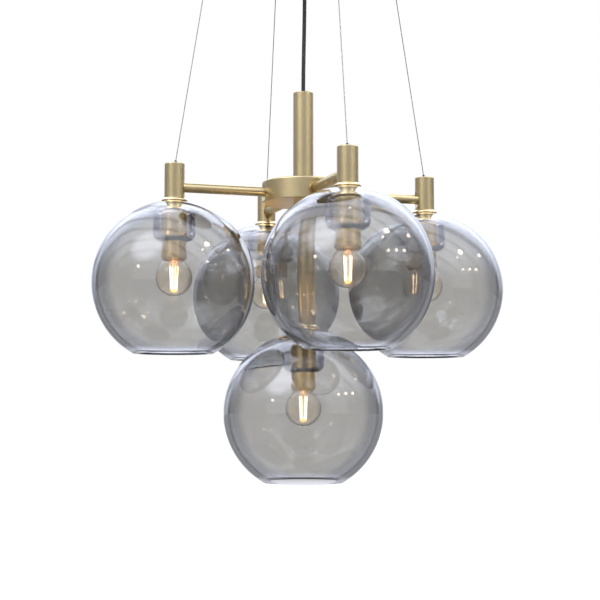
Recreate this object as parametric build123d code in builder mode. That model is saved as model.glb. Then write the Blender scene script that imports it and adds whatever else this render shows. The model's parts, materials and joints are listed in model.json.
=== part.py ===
from build123d import *
import os
from math import atan2, cos, degrees, pi, radians, sin, sqrt, tan

# Cluster pendant: four glass globes on a cross of brass arms and a fifth on a tube below the hub.
# Millimetres. The origin is on the hub's centre line at the ceiling, +Z is up and the lamp hangs
# in negative Z. The arms point along +X, +Y, -X and -Y.

# --- layout ---
lamp_drop = 340.0  # ceiling down to the tops of the four lamp tubes
arm_reach = 166.6  # hub centre line out to a lamp tube's centre line
arm_drop = 29.5  # lamp tube's top down to the arm's centre line
hub_drop = 15.0  # lamp tube's top down to the hub's top
stem_rise = 100.4  # lamp tube's top up to the stem's top
lower_tube_length = 163.7  # hub's underside down to the lowest lampholder cup
wire_apex = 1040.0  # height above the lamp tubes where the lines of the four wires would meet

# --- hub ---
hub_diameter = 105.0
hub_height = 27.0
hub_wall = 6.0
hub_roof = 4.0
hub_round = 2.2
hub_lower_round = 1.1
cover_thickness = 3.0
cover_ledge = 3.6  # how far the cover reaches over the hub's wall
cover_gap = 0.15
dish_radius = 11.5  # turned recess where an arm enters the hub or a lamp tube
dish_depth = 2.2
dish_gap = 0.4  # floor of the recess beyond the arm

# --- tubes ---
arm_diameter = 12.0
arm_wall = 1.5
arm_inset = 6.0  # arm's end past the hub wall's inner face
arm_proud = 0.8  # arm's end past the lamp tube's inner face
arm_gap = 0.05
lamp_tube_diameter = 25.0
lamp_tube_height = 46.8
lamp_tube_wall = 2.5
lamp_tube_roof = 5.0
stem_diameter = 26.0
stem_wall = 1.5
stem_round = 1.05
tube_web = 5.0  # floor of the stem and roof of the lower tube, clamped on the rod
tube_round = 1.4

# --- rod, nuts and blocks in the hub ---
nut_sides = 6
rod_diameter = 10.0
rod_bore = 7.0
rod_proud = 2.0  # rod's end past its nut
rod_gap = 0.1
rod_window_width = 5.0
rod_window_height = 10.0
rod_nut_flats = 17.0
rod_nut_height = 5.0
arm_nut_flats = 16.0
arm_nut_height = 4.0
junction_side = 30.0
junction_height = 13.0
junction_round = 4.0
lead_diameter = 4.0
lead_bend = 8.0

# --- ball-ended suspension wires ---
wire_diameter = 1.2
wire_hole = 4.8
lower_ball = 3.5  # radius of the ball under each lamp tube's roof
lower_seat = 1.6  # straight hole above the lower ball's 45 degree seat
shank_diameter = 3.0
shank_rise = 3.6  # shank showing above the lamp tube
upper_ball = 5.0  # radius of the clamp's round foot, inside the canopy
clamp_diameter = 8.0
upper_seat = 3.0
clamp_body = 12.0  # clamp's straight body above its round foot
wire_tail = 6.0
seat_clearance = 0.02

# --- glass shade ---
# Heights in this block and the next two are above the lower end of the lamp's tube.
glass_radius = 100.0
glass_wall = 4.5
glass_top = -0.5  # where the globe would end if it had no well
mouth_radius = 48.9  # outer edge of the cut rim
well_radius = 26.4
well_floor = -50.2  # underside of the well's floor
well_corner = 11.0
well_corner_inside = 3.5
well_mouth_round = 2.2
well_root_round = 5.0
rim_round = 0.9

# --- lampholder cup, ring nut and insert ---
cup_diameter = 32.0
cup_wall = 1.5
cup_roof = 3.0
cup_shoulder = 3.4
collar_diameter = 34.8
collar_height = 11.4
collar_edge = 0.7
spigot_height = 6.0  # the cup's upper spigot, inside the lamp tube
spigot_gap = 0.05
cup_wire_hole = 8.0
thread_diameter = 26.0
thread_wall = 2.0
thread_end = -66.5  # lower end of the cup's threaded neck
thread_gap = 0.06
floor_gap = 0.3  # between the threaded neck and the hole in the glass
ring_diameter = 29.7
ring_lip_diameter = 31.6
ring_lip_top = -64.3
ring_lip_base = -70.4
ring_nose = -73.2
ring_nose_radius = 13.5
ring_edge = 0.5
insert_gap = 0.1
insert_flange = 8.0
insert_flange_reach = 2.6
insert_foot = -57.5

# --- bulb, a 45 mm golf ball with an E14 cap ---
bulb_radius = 22.5
bulb_centre = -94.9
bulb_wall = 0.8
bulb_neck_radius = 10.4
bulb_neck_end = -64.9
bulb_cone_angle = 36.9  # half angle of the cone between ball and neck
bulb_neck_round = 4.0
cap_radius = 6.9
cap_collar_top = -59.5
cap_thread_top = -41.5
cap_gap = 0.3
contact_radius = 2.4
contact_top = -37.0
contact_skirt = 4.6
filament_radius = 0.9
filament_top = -76.5
filament_base = -109.0
filament_spread_top = 5.2
filament_spread_base = 3.7
filament_count = 4
filament_turn = 9.0
filament_joint = -111.5  # where the lower ends of the filaments meet
stem_press_radius = 3.0
stem_press_end = -73.5
support_radius = 0.6
support_side = 0.9
support_end = -112.5

# --- ceiling canopy and what it holds ---
canopy_margin = 18.15  # from the line of a wire bushing out to the canopy's side
canopy_height = 38.0
canopy_wall = 1.5
canopy_round = 5.0
bracket_width = 30.0
bracket_thickness = 2.5
bracket_lug = 20.0
bracket_gap = 0.3
bracket_screw_circle = 120.0
bracket_screw_hole = 5.5
cable_hole = 20.0
side_screw = 4.0
side_screw_drop = 12.0
side_screw_gap = 0.15
side_screw_head = 8.0
side_screw_head_height = 2.6
side_screw_head_taper = 20.8  # degrees
side_screw_length = 9.0
bushing_shank = 13.0
bushing_flange = 18.0
bushing_flange_height = 2.0
bushing_rise = 8.5
bushing_gap = 0.1
bushing_wall = 1.0
canopy_nut_flats = 22.0
canopy_nut_height = 3.0
terminal_length = 34.0
terminal_width = 18.0
terminal_height = 15.0
terminal_offset = 18.0
terminal_poles = 3
terminal_hole = 4.0
terminal_screw_hole = 3.0
terminal_round = 1.0

# --- power cord ---
cord_diameter = 5.0
cord_gap = 0.1
plug_height = 9.0  # the bushing pressed into the stem's top
plug_sink = 1.0
plug_gap = 0.05
grip_thread = 13.0
grip_flange = 20.0
grip_flange_height = 3.0
grip_length = 16.0
grip_nose = 11.0
grip_rise = 8.0
grip_round = 1.0
cord_side = 17.86  # degrees from +X towards -Y in which the cord leans
# Heights above the lamp tubes' tops, and how far the cord stands off the centre line there.
# The cord's end hangs in the rod, beside its windows.
cord_heights = [-20.0, 29.0, 80.0, 114.0, 152.0, 190.0, 226.0, 252.0, 282.0, 311.0]
cord_leans = [0.0, -0.6, 0.0, 0.0, 0.6, 1.4, 1.8, 1.4, 0.0, 0.0]
cord_bend_share = 0.45  # how much of the shorter run beside a point its bend takes

# --- worked out from the values above ---
frame_top = -lamp_drop
arm_level = frame_top - arm_drop
hub_top = frame_top - hub_drop
hub_bottom = hub_top - hub_height
stem_top = frame_top + stem_rise
lamp_level = frame_top - lamp_tube_height
lower_lamp_level = hub_bottom - lower_tube_length
glass_centre = glass_top - glass_radius
hub_cavity = hub_diameter / 2 - hub_wall
lamp_bore = lamp_tube_diameter / 2 - lamp_tube_wall
collar_base = well_floor + glass_wall
collar_top = collar_base + collar_height
thread_bore = thread_diameter / 2 - thread_wall
canopy_floor = -canopy_height
seat_slope = sqrt(2)  # slant of a 45 degree seat

os.makedirs("parts", exist_ok=True)

arms = {"right": 0, "back": 90, "left": 180, "front": 270}


def keep(piece, node):
    """Label a finished piece and write it under its name."""
    piece.part.label = node
    export_step(piece.part, f"parts/{node}.step")


def outward(angle, distance=1.0, height=0.0):
    """The point at a distance from the hub's centre line, in an arm's direction."""
    turn = radians(angle)
    return Vector(distance * cos(turn), distance * sin(turn), height)


def upright(angle, distance, height):
    """A vertical plane through a lamp's centre line: x away from the hub, y up."""
    side = outward(angle + 90)
    return Plane(origin=outward(angle, distance, height), x_dir=outward(angle), z_dir=-side)


def corner(profile, x, y):
    """The corner of a profile nearest to a point."""
    return profile.vertices().sort_by_distance((x, y))[0]


def rise(radius, reach):
    """How far a circle's point at a distance from its middle line stands off its centre."""
    return sqrt(radius**2 - reach**2)


def turned(plane, points, rounds=()):
    """Turn a closed outline about the plane's y axis, with some of its corners rounded."""
    with BuildSketch(plane) as outline:
        with BuildLine():
            Polyline(*points, close=True)
        make_face()
        for x, y, radius in rounds:
            fillet(corner(outline, x, y), radius=radius)
    revolve(outline.sketch, axis=Axis(plane.origin, plane.y_dir))


def ball_depth(ball, hole, seat):
    """From the mouth of a hole to the centre of the ball on the 45 degree seat behind it."""
    return (ball + seat_clearance) * seat_slope - (hole / 2 - seat)


# Lamps: name, plane through the lamp's centre line with its origin at the tube's lower end.
lamps = {side: upright(angle, arm_reach, lamp_level) for side, angle in arms.items()}
lamps["lower"] = upright(0, 0, lower_lamp_level)

# Lines of the wires, from the ball under a lamp tube's roof to the clamp in the canopy.
lower_ball_level = frame_top - ball_depth(lower_ball, wire_hole, lower_seat)
upper_ball_level = (
    canopy_floor - bushing_flange_height + ball_depth(upper_ball, wire_hole, upper_seat)
)
apex_level = frame_top + wire_apex
wire_tilt = atan2(arm_reach, apex_level - lower_ball_level)
upper_reach = (apex_level - upper_ball_level) * tan(wire_tilt)


def wire_plane(angle, distance, level):
    """A plane whose y axis runs up along a wire, its origin on the wire's line."""
    inward = outward(angle, -sin(wire_tilt), cos(wire_tilt))
    side = outward(angle + 90)
    origin = outward(angle, distance, level)
    return Plane(origin=origin, x_dir=side.cross(inward), z_dir=-side)


# ---------------------------------------------------------------- glass shades
glass_inside = glass_radius - glass_wall
well_bore = well_radius - glass_wall
floor_hole = thread_diameter / 2 + floor_gap
rim_drop = rise(glass_radius, mouth_radius)
rim_level = glass_centre - rim_drop
well_mouth = (well_bore, glass_centre + rise(glass_radius, well_bore))
well_root = (well_radius, glass_centre + rise(glass_inside, well_radius))
rim_outside = (mouth_radius, rim_level)
rim_inside = (rise(glass_inside, rim_drop), rim_level)
for name, plane in lamps.items():
    with BuildPart() as shade:
        with BuildSketch(plane) as profile:
            with BuildLine():
                ThreePointArc(well_mouth, (glass_radius, glass_centre), rim_outside)
                Line(rim_outside, rim_inside)
                ThreePointArc(rim_inside, (glass_inside, glass_centre), well_root)
                Polyline(
                    well_root,
                    (well_radius, well_floor),
                    (floor_hole, well_floor),
                    (floor_hole, collar_base),
                    (well_bore, collar_base),
                    well_mouth,
                )
            make_face()
            fillet(corner(profile, well_radius, well_floor), radius=well_corner)
            fillet(corner(profile, well_bore, collar_base), radius=well_corner_inside)
            fillet(corner(profile, *well_mouth), radius=well_mouth_round)
            fillet(corner(profile, *well_root), radius=well_root_round)
            fillet(corner(profile, *rim_outside), radius=rim_round)
            fillet(corner(profile, *rim_inside), radius=rim_round)
        revolve(axis=Axis(plane.origin, plane.y_dir))
    keep(shade, f"glass_shade_{name}")

# ---------------------------------------------------------------- lampholder cups
cup_radius = cup_diameter / 2
for name, plane in lamps.items():
    with BuildPart() as cup:
        turned(
            plane,
            [
                (cup_wire_hole / 2, spigot_height),
                (lamp_bore - spigot_gap, spigot_height),
                (lamp_bore - spigot_gap, 0),
                (cup_radius, 0),
                (cup_radius, collar_top),
                (collar_diameter / 2, collar_top),
                (collar_diameter / 2, collar_base),
                (thread_diameter / 2, collar_base),
                (thread_diameter / 2, thread_end),
                (thread_bore, thread_end),
                (thread_bore, collar_top),
                (cup_radius - cup_wall, collar_top),
                (cup_radius - cup_wall, -cup_roof),
                (cup_wire_hole / 2, -cup_roof),
            ],
            [
                (cup_radius, 0, cup_shoulder),
                (collar_diameter / 2, collar_top, collar_edge),
                (cup_radius - cup_wall, -cup_roof, cup_wall),
            ],
        )
    keep(cup, f"lampholder_cup_{name}")

# ---------------------------------------------------------------- ring nuts under the glass
ring_bore = thread_diameter / 2 + thread_gap
ring_radius = ring_diameter / 2
ring_lip_radius = ring_lip_diameter / 2
for name, plane in lamps.items():
    with BuildPart() as ring:
        turned(
            plane,
            [
                (ring_bore, well_floor),
                (ring_radius, well_floor),
                (ring_radius, ring_lip_top),
                (ring_lip_radius, ring_lip_top),
                (ring_lip_radius, ring_lip_base),
                (ring_nose_radius, ring_nose),
                (ring_bore, ring_nose),
            ],
            [
                (ring_radius, well_floor, ring_edge),
                (ring_lip_radius, ring_lip_top, ring_edge),
                (ring_lip_radius, ring_lip_base, ring_edge),
            ],
        )
    keep(ring, f"shade_ring_{name}")

# ---------------------------------------------------------------- porcelain inserts with the E14 socket
insert_radius = thread_bore - insert_gap
insert_top = collar_top + insert_flange
socket_radius = cap_radius + cap_gap
with BuildPart() as inserts:
    for plane in lamps.values():
        turned(
            plane,
            [
                (0, insert_top),
                (insert_radius + insert_flange_reach, insert_top),
                (insert_radius + insert_flange_reach, collar_top),
                (insert_radius, collar_top),
                (insert_radius, insert_foot),
                (socket_radius, insert_foot),
                (socket_radius, contact_top),
                (0, contact_top),
            ],
        )
keep(inserts, "lampholder_inserts")

# ---------------------------------------------------------------- bulbs
cone = radians(bulb_cone_angle)


def bulb_outline(radius, neck):
    """Half outline of the bulb's glass: ball, tangent cone and straight neck."""
    tangent = (radius * cos(cone), bulb_centre + radius * sin(cone))
    cone_end = (neck, tangent[1] + (tangent[0] - neck) / tan(cone))
    return (0, bulb_centre - radius), tangent, cone_end, (neck, bulb_neck_end)


for name, plane in lamps.items():
    outside = bulb_outline(bulb_radius, bulb_neck_radius)
    inside = bulb_outline(bulb_radius - bulb_wall, bulb_neck_radius - bulb_wall)
    with BuildPart() as bulb:
        with BuildSketch(plane) as profile:
            with BuildLine():
                for pole, tangent, cone_end, neck_end in (outside, inside):
                    CenterArc(
                        (0, bulb_centre),
                        bulb_centre - pole[1],
                        start_angle=-90,
                        arc_size=90 + bulb_cone_angle,
                    )
                    Polyline(tangent, cone_end, neck_end)
                Line(outside[0], inside[0])
                Line(outside[-1], inside[-1])
            make_face()
            fillet(corner(profile, *outside[2]), radius=bulb_neck_round)
            fillet(corner(profile, *inside[2]), radius=bulb_neck_round + bulb_wall)
        revolve(axis=Axis(plane.origin, plane.y_dir))
    keep(bulb, f"bulb_glass_{name}")

for name, plane in lamps.items():
    with BuildPart() as cap:
        turned(
            plane,
            [
                (0, bulb_neck_end),
                (bulb_neck_radius, bulb_neck_end),
                (bulb_neck_radius, bulb_neck_end + cap_gap),
                (cap_radius, cap_collar_top),
                (cap_radius, cap_thread_top),
                (contact_skirt, cap_thread_top + cap_gap),
                (contact_radius, contact_top - cap_gap),
                (contact_radius, contact_top),
                (0, contact_top),
            ],
        )
    keep(cap, f"bulb_base_{name}")

for name, plane in lamps.items():
    with BuildPart() as filaments:
        turned(
            plane,
            [
                (0, support_end),
                (support_radius, support_end),
                (support_radius, stem_press_end),
                (stem_press_radius, stem_press_end),
                (stem_press_radius, bulb_neck_end),
                (0, bulb_neck_end),
            ],
        )
        for number in range(filament_count):
            angle = filament_turn + 360 * number / filament_count
            top = plane.origin + outward(angle, filament_spread_top, filament_top)
            base = plane.origin + outward(angle, filament_spread_base, filament_base)
            press = plane.origin + outward(angle, support_radius, stem_press_end + support_side)
            joint = plane.origin + Vector(0, 0, filament_joint)
            with BuildSketch(Plane(origin=base, z_dir=top - base)):
                Circle(filament_radius)
            extrude(amount=(top - base).length)
            for start, end in ((top, press), (base, joint)):
                start = start + (start - end).normalized() * support_side / 2
                with BuildSketch(Plane(origin=start, z_dir=end - start)):
                    Rectangle(support_side, support_side)
                extrude(amount=(end - start).length)
    keep(filaments, f"bulb_filament_{name}")

# ---------------------------------------------------------------- lamp tubes
hole_radius = wire_hole / 2
for side, angle in arms.items():
    plane = upright(angle, arm_reach, frame_top)
    inner_end = Plane(origin=outward(angle, arm_reach, arm_level), z_dir=outward(angle, -1))
    with BuildPart() as tube:
        turned(
            plane,
            [
                (hole_radius, 0),
                (lamp_tube_diameter / 2, 0),
                (lamp_tube_diameter / 2, -lamp_tube_height),
                (lamp_bore, -lamp_tube_height),
                (lamp_bore, -lamp_tube_roof),
                (hole_radius + lamp_tube_roof - lower_seat, -lamp_tube_roof),
                (hole_radius, -lower_seat),
            ],
            [(lamp_tube_diameter / 2, 0, tube_round)],
        )
        with BuildSketch(inner_end.offset(lamp_tube_diameter / 2 - dish_depth)):
            Circle(arm_diameter / 2 + dish_gap)
        with BuildSketch(inner_end.offset(lamp_tube_diameter / 2)):
            Circle(dish_radius)
        loft(mode=Mode.SUBTRACT)
        with BuildSketch(inner_end):
            Circle(arm_diameter / 2 + arm_gap)
        extrude(amount=lamp_tube_diameter / 2, mode=Mode.SUBTRACT)
    keep(tube, f"lamp_tube_{side}")

# ---------------------------------------------------------------- arms
arm_start = hub_cavity - arm_inset
arm_end = arm_reach - lamp_bore + arm_proud
for side, angle in arms.items():
    with BuildPart() as arm:
        start = outward(angle, arm_start, arm_level)
        with BuildSketch(Plane(origin=start, z_dir=outward(angle))):
            Circle(arm_diameter / 2)
            Circle(arm_diameter / 2 - arm_wall, mode=Mode.SUBTRACT)
        extrude(amount=arm_end - arm_start)
    keep(arm, f"arm_{side}")

# ---------------------------------------------------------------- hub
hub_plane = upright(0, 0, hub_top)
cover_radius = hub_cavity + cover_ledge
with BuildPart() as hub:
    turned(
        hub_plane,
        [
            (rod_diameter / 2 + rod_gap, 0),
            (hub_diameter / 2, 0),
            (hub_diameter / 2, -hub_height),
            (cover_radius + cover_gap, -hub_height),
            (cover_radius + cover_gap, -hub_height + cover_thickness),
            (hub_cavity, -hub_height + cover_thickness),
            (hub_cavity, -hub_roof),
            (rod_diameter / 2 + rod_gap, -hub_roof),
        ],
        [
            (hub_diameter / 2, 0, hub_round),
            (hub_diameter / 2, -hub_height, hub_lower_round),
        ],
    )
    for angle in arms.values():
        entry = Plane(origin=outward(angle, 0, arm_level), z_dir=outward(angle))
        with BuildSketch(entry.offset(hub_diameter / 2 - dish_depth)):
            Circle(arm_diameter / 2 + dish_gap)
        with BuildSketch(entry.offset(hub_diameter / 2)):
            Circle(dish_radius)
        loft(mode=Mode.SUBTRACT)
        with BuildSketch(entry.offset(arm_start)):
            Circle(arm_diameter / 2 + arm_gap)
        extrude(amount=hub_diameter / 2 - arm_start, mode=Mode.SUBTRACT)
keep(hub, "hub_body")

with BuildPart() as cover:
    with BuildSketch(Plane.XY.offset(hub_bottom)):
        Circle(cover_radius)
        Circle(rod_diameter / 2 + rod_gap, mode=Mode.SUBTRACT)
    extrude(amount=cover_thickness)
keep(cover, "hub_cover")

# Hollow rod that clamps stem, hub, cover and lower tube together, with windows for the wiring.
rod_top = hub_top + tube_web + rod_nut_height + rod_proud
rod_bottom = hub_bottom - tube_web - rod_nut_height - rod_proud
with BuildPart() as rod:
    with BuildSketch(Plane.XY.offset(rod_bottom)):
        Circle(rod_diameter / 2)
        Circle(rod_bore / 2, mode=Mode.SUBTRACT)
    extrude(amount=rod_top - rod_bottom)
    with BuildSketch(Plane.XZ.offset(-rod_diameter)):
        with Locations((0, hub_bottom + cover_thickness + rod_window_height)):
            SlotOverall(rod_window_height, rod_window_width, rotation=90)
    extrude(amount=2 * rod_diameter, mode=Mode.SUBTRACT)
keep(rod, "hub_rod")

# Nuts: one on each arm's inner end, one on each end of the rod, and in the canopy one on each
# wire bushing and one on the cord grip.
nut_corner = arm_nut_flats / 2 / cos(pi / nut_sides)
nut_face = sqrt(hub_cavity**2 - nut_corner**2) - arm_gap
with BuildPart() as nuts:
    for angle in arms.values():
        with BuildSketch(Plane(origin=outward(angle, nut_face, arm_level), z_dir=outward(angle, -1))):
            RegularPolygon(arm_nut_flats / 2, nut_sides, major_radius=False)
            Circle(arm_diameter / 2, mode=Mode.SUBTRACT)
        extrude(amount=arm_nut_height)
    for level in (hub_top + tube_web, hub_bottom - tube_web - rod_nut_height):
        with BuildSketch(Plane.XY.offset(level)):
            RegularPolygon(rod_nut_flats / 2, nut_sides, major_radius=False)
            Circle(rod_diameter / 2, mode=Mode.SUBTRACT)
        extrude(amount=rod_nut_height)
    with BuildSketch(Plane.XY.offset(canopy_floor + canopy_wall)):
        for reach, thread in ((upper_reach, bushing_shank), (0, grip_thread)):
            with PolarLocations(reach, len(arms) if reach else 1):
                RegularPolygon(canopy_nut_flats / 2, nut_sides, major_radius=False)
                Circle(thread / 2, mode=Mode.SUBTRACT)
    extrude(amount=canopy_nut_height)
keep(nuts, "lock_nuts")

# ---------------------------------------------------------------- stem, its bushing and the lower tube
stem_bore = stem_diameter / 2 - stem_wall
with BuildPart() as stem:
    turned(
        hub_plane,
        [
            (rod_diameter / 2 + rod_gap, 0),
            (stem_diameter / 2, 0),
            (stem_diameter / 2, stem_top - hub_top),
            (stem_bore, stem_top - hub_top),
            (stem_bore, tube_web),
            (rod_diameter / 2 + rod_gap, tube_web),
        ],
        [(stem_diameter / 2, stem_top - hub_top, stem_round)],
    )
keep(stem, "stem_tube")

with BuildPart() as plug:
    with BuildSketch(Plane.XY.offset(stem_top - plug_sink - plug_height)):
        Circle(stem_bore - plug_gap)
        Circle(cord_diameter / 2 + cord_gap, mode=Mode.SUBTRACT)
    extrude(amount=plug_height)
    chamfer(plug.faces().sort_by(Axis.Z)[-1].outer_wire().edges(), length=plug_sink)
keep(plug, "stem_bushing")

with BuildPart() as lower_tube:
    turned(
        hub_plane,
        [
            (rod_diameter / 2 + rod_gap, hub_bottom - hub_top),
            (lamp_tube_diameter / 2, hub_bottom - hub_top),
            (lamp_tube_diameter / 2, lower_lamp_level - hub_top),
            (lamp_bore, lower_lamp_level - hub_top),
            (lamp_bore, hub_bottom - tube_web - hub_top),
            (rod_diameter / 2 + rod_gap, hub_bottom - tube_web - hub_top),
        ],
    )
keep(lower_tube, "lower_tube")

# ---------------------------------------------------------------- wiring inside the tubes
# The junction block stands on the cover, round the rod; a lead runs from it through each arm.
junction_floor = hub_bottom + cover_thickness
half_junction = junction_side / 2
lead_foot = lamp_level + insert_top
with BuildPart() as leads:
    for angle in arms.values():
        start = outward(angle, half_junction, arm_level)
        elbow = outward(angle, arm_reach, arm_level)
        end = outward(angle, arm_reach, lead_foot)
        with BuildLine() as route:
            FilletPolyline(start, elbow, end, radius=lead_bend)
        with BuildSketch(Plane(origin=start, z_dir=outward(angle))):
            Circle(lead_diameter / 2)
        sweep(path=route.line)
    lower_lead_foot = lower_lamp_level + insert_top
    with BuildSketch(Plane.XY.offset(lower_lead_foot)):
        Circle(lead_diameter / 2)
    extrude(amount=junction_floor - lower_lead_foot)
keep(leads, "inner_leads")

# ---------------------------------------------------------------- terminal blocks in canopy and hub
with BuildPart() as blocks:
    with BuildSketch(Plane.XY.offset(junction_floor)):
        RectangleRounded(junction_side, junction_side, junction_round)
        Circle(rod_diameter / 2 + rod_gap, mode=Mode.SUBTRACT)
    extrude(amount=junction_height)
    block_face = Plane.XY.offset(-bracket_thickness)
    block_centre = terminal_offset + terminal_length / 2
    with BuildSketch(block_face):
        with Locations((block_centre, 0)):
            RectangleRounded(terminal_length, terminal_width, terminal_round)
    extrude(amount=-terminal_height)
    with BuildSketch(Plane.XZ.offset(-terminal_width)):
        with Locations((block_centre, -bracket_thickness - terminal_height / 2)):
            with GridLocations(terminal_length / terminal_poles, 0, terminal_poles, 1):
                Circle(terminal_hole / 2)
    extrude(amount=2 * terminal_width, mode=Mode.SUBTRACT)
    with BuildSketch(Plane.XY.offset(-bracket_thickness - terminal_height)):
        with Locations((block_centre, 0)):
            with GridLocations(terminal_length / terminal_poles, 0, terminal_poles, 1):
                Circle(terminal_screw_hole / 2)
    extrude(amount=terminal_height / 2, mode=Mode.SUBTRACT)
keep(blocks, "terminal_blocks")

# ---------------------------------------------------------------- suspension wires and their ends
wire_bottom = -lower_ball
wire_line = (upper_ball_level - lower_ball_level) / cos(wire_tilt)
wire_top = wire_line + clamp_body + wire_tail
for side, angle in arms.items():
    plane = wire_plane(angle, arm_reach, lower_ball_level)
    with BuildPart() as wire:
        with BuildSketch(Plane(origin=plane.origin + plane.y_dir * wire_bottom, z_dir=plane.y_dir)):
            Circle(wire_diameter / 2)
        extrude(amount=wire_top - wire_bottom)
    keep(wire, f"suspension_wire_{side}")

shank_top = (frame_top + shank_rise - lower_ball_level) / cos(wire_tilt)
with BuildPart() as ball_ends:
    for angle in arms.values():
        plane = wire_plane(angle, arm_reach, lower_ball_level)
        with BuildSketch(plane):
            Circle(lower_ball)
            with Locations((0, shank_top / 2)):
                Rectangle(shank_diameter, shank_top)
            with Locations((lower_ball, 0)):
                Rectangle(2 * lower_ball, 2 * (shank_top + lower_ball), mode=Mode.INTERSECT)
        revolve(axis=Axis(plane.origin, plane.y_dir))
        with BuildSketch(Plane(origin=plane.origin + plane.y_dir * wire_bottom, z_dir=plane.y_dir)):
            Circle(wire_diameter / 2)
        extrude(amount=shank_top - wire_bottom, mode=Mode.SUBTRACT)
keep(ball_ends, "wire_ball_ends")

with BuildPart() as clamps:
    for angle in arms.values():
        plane = wire_plane(angle, upper_reach, upper_ball_level)
        with BuildSketch(plane):
            Circle(upper_ball)
            with Locations((0, clamp_body / 2)):
                Rectangle(clamp_diameter, clamp_body)
            with Locations((upper_ball, 0)):
                Rectangle(2 * upper_ball, 2 * (clamp_body + upper_ball), mode=Mode.INTERSECT)
        revolve(axis=Axis(plane.origin, plane.y_dir))
        with BuildSketch(Plane(origin=plane.origin - plane.y_dir * upper_ball, z_dir=plane.y_dir)):
            Circle(wire_diameter / 2)
        extrude(amount=clamp_body + upper_ball, mode=Mode.SUBTRACT)
keep(clamps, "wire_clamps")

seat_rim = bushing_shank / 2 - bushing_wall
with BuildPart() as bushings:
    for angle in arms.values():
        bushing_top = bushing_rise + bushing_flange_height
        turned(
            upright(angle, upper_reach, canopy_floor - bushing_flange_height),
            [
                (hole_radius, 0),
                (bushing_flange / 2, 0),
                (bushing_flange / 2, bushing_flange_height),
                (bushing_shank / 2, bushing_flange_height),
                (bushing_shank / 2, bushing_top),
                (seat_rim, bushing_top),
                (seat_rim, upper_seat + seat_rim - hole_radius),
                (hole_radius, upper_seat),
            ],
        )
keep(bushings, "wire_bushings")

# ---------------------------------------------------------------- canopy
canopy_radius = upper_reach + canopy_margin
with BuildPart() as canopy:
    turned(
        upright(0, 0, 0),
        [
            (0, canopy_floor),
            (canopy_radius, canopy_floor),
            (canopy_radius, 0),
            (canopy_radius - canopy_wall, 0),
            (canopy_radius - canopy_wall, canopy_floor + canopy_wall),
            (0, canopy_floor + canopy_wall),
        ],
        [
            (canopy_radius, canopy_floor, canopy_round),
            (canopy_radius - canopy_wall, canopy_floor + canopy_wall, canopy_round - canopy_wall),
        ],
    )
    with Locations((0, 0, canopy_floor)):
        Hole(grip_thread / 2 + bushing_gap)
    with Locations(Plane.XY.offset(canopy_floor)):
        with PolarLocations(upper_reach, len(arms)):
            Hole(bushing_shank / 2 + bushing_gap)
    for angle in arms.values():
        with BuildSketch(Plane(origin=outward(angle, 0, -side_screw_drop), z_dir=outward(angle))):
            Circle(side_screw / 2 + side_screw_gap)
        extrude(amount=canopy_radius, mode=Mode.SUBTRACT)
keep(canopy, "ceiling_canopy")

# ---------------------------------------------------------------- ceiling bracket
lug_face = sqrt((canopy_radius - canopy_wall) ** 2 - (bracket_width / 2) ** 2) - bracket_gap
with BuildPart() as bracket:
    with BuildSketch(Plane.XY.offset(-bracket_thickness)):
        Rectangle(2 * lug_face, bracket_width)
        Rectangle(bracket_width, 2 * lug_face)
        Circle(cable_hole / 2, mode=Mode.SUBTRACT)
        with PolarLocations(bracket_screw_circle / 2, len(arms)):
            Circle(bracket_screw_hole / 2, mode=Mode.SUBTRACT)
    extrude(amount=bracket_thickness)
    with BuildSketch(Plane.XY.offset(-bracket_lug)):
        with PolarLocations(lug_face - bracket_thickness / 2, len(arms)):
            Rectangle(bracket_thickness, bracket_width)
    extrude(amount=bracket_lug)
    for angle in arms.values():
        with BuildSketch(Plane(origin=outward(angle, 0, -side_screw_drop), z_dir=outward(angle))):
            Circle(side_screw / 2 + thread_gap)
        extrude(amount=canopy_radius, mode=Mode.SUBTRACT)
keep(bracket, "ceiling_bracket")

with BuildPart() as side_screws:
    for angle in arms.values():
        out = outward(angle)
        tip = outward(angle, canopy_radius - side_screw_length, -side_screw_drop)
        head = outward(angle, canopy_radius, -side_screw_drop)
        with BuildSketch(Plane(origin=tip, z_dir=out)):
            Circle(side_screw / 2)
        extrude(amount=side_screw_length)
        with BuildSketch(Plane(origin=head, z_dir=out)):
            Circle(side_screw_head / 2)
        extrude(amount=side_screw_head_height, taper=side_screw_head_taper)
keep(side_screws, "canopy_screws")

# ---------------------------------------------------------------- cord grip
grip_top = canopy_floor + grip_rise
with BuildPart() as grip:
    turned(
        upright(0, 0, canopy_floor),
        [
            (cord_diameter / 2 + cord_gap, grip_rise),
            (grip_thread / 2, grip_rise),
            (grip_thread / 2, 0),
            (grip_flange / 2, 0),
            (grip_flange / 2, -grip_flange_height),
            (grip_nose / 2, -grip_length),
            (cord_diameter / 2 + cord_gap, -grip_length),
        ],
        [
            (grip_flange / 2, -grip_flange_height, grip_round),
            (grip_nose / 2, -grip_length, grip_round),
        ],
    )
keep(grip, "cord_grip")

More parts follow.
